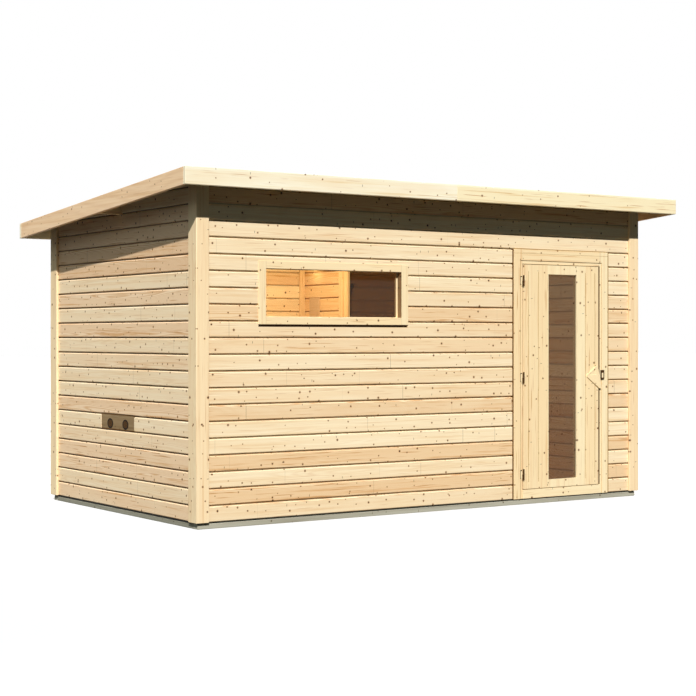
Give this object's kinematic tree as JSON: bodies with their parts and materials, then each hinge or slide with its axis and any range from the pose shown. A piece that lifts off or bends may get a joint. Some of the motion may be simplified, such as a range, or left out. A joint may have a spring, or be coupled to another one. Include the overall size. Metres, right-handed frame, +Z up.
{
  "type": "outdoor sauna cabin",
  "caption": "Outdoor plank sauna cabin with a shed roof, a long fixed window, a glazed board door that swings out and an inner glass door to the sauna room.",
  "frame": {"origin": "ground level under the middle of the roof's plan", "axes": "+X to the right along the front, +Y from the front to the back, +Z up"},
  "size_m": [4.32, 2.655, 2.313],
  "materials": {
    "base_wood": "matt, pressure impregnated",
    "floor_wood": "planed",
    "post_wood": "planed",
    "wall_wood": "planed, untreated spruce",
    "room_wood": "planed, warm",
    "frame_wood": "planed and sanded",
    "vent_wood": "planed, darker",
    "bronze_glass": "bronze tinted safety glass",
    "hinge_steel": "zinc plated",
    "roof_wood": "planed",
    "felt": "mineral roofing felt",
    "fascia_wood": "planed"
  },
  "bodies": {
    "cabin": {"sill_front": "base_wood", "sill_back": "base_wood", "sill_left": "base_wood", "sill_right": "base_wood", "floor_joists": "base_wood", "floor_sauna": "floor_wood", "floor_vestibule": "floor_wood", "post_front_left": "post_wood", "post_front_right": "post_wood", "post_back_left": "post_wood", "post_back_right": "post_wood", "front_wall_left": "wall_wood", "front_wall_right": "wall_wood", "front_wall_top": "wall_wood", "back_wall": "wall_wood", "left_wall": "wall_wood", "right_wall": "wall_wood", "partition_front": "room_wood", "partition_back": "room_wood", "partition_top": "room_wood", "corner_battens": "room_wood", "inner_door_frame": "room_wood", "window_frame": "frame_wood", "door_frame": "frame_wood", "door_threshold": "frame_wood", "vent_board": "vent_wood", "window_glass": "bronze_glass", "door_catch": "hinge_steel", "frame_hinges": "hinge_steel", "inner_frame_hinges": "hinge_steel", "roof_deck": "roof_wood", "purlin": "roof_wood", "roof_felt": "felt", "fascia_front_left": "fascia_wood", "fascia_front_right": "fascia_wood", "fascia_left": "fascia_wood", "fascia_right": "fascia_wood", "fascia_back": "fascia_wood"},
    "front_door": {"door_leaf": "frame_wood", "door_leaf_glass": "bronze_glass", "leaf_hinges": "hinge_steel", "door_handle": "frame_wood"},
    "glass_door": {"inner_door_glass": "bronze_glass", "inner_glass_hinges": "hinge_steel", "inner_door_handle": "room_wood"}
  },
  "joints": [
    {"name": "front_door_swing", "type": "hinge", "parent": "cabin", "child": "front_door", "pos_m": [0.7935, -1.111, 0.95], "axis": [0, 0, -1], "range_deg": [0, 110]},
    {"name": "glass_door_swing", "type": "hinge", "parent": "cabin", "child": "glass_door", "pos_m": [0.3465, 0.488, 0.95], "axis": [0, 0, 1], "range_deg": [0, 100]}
  ]
}
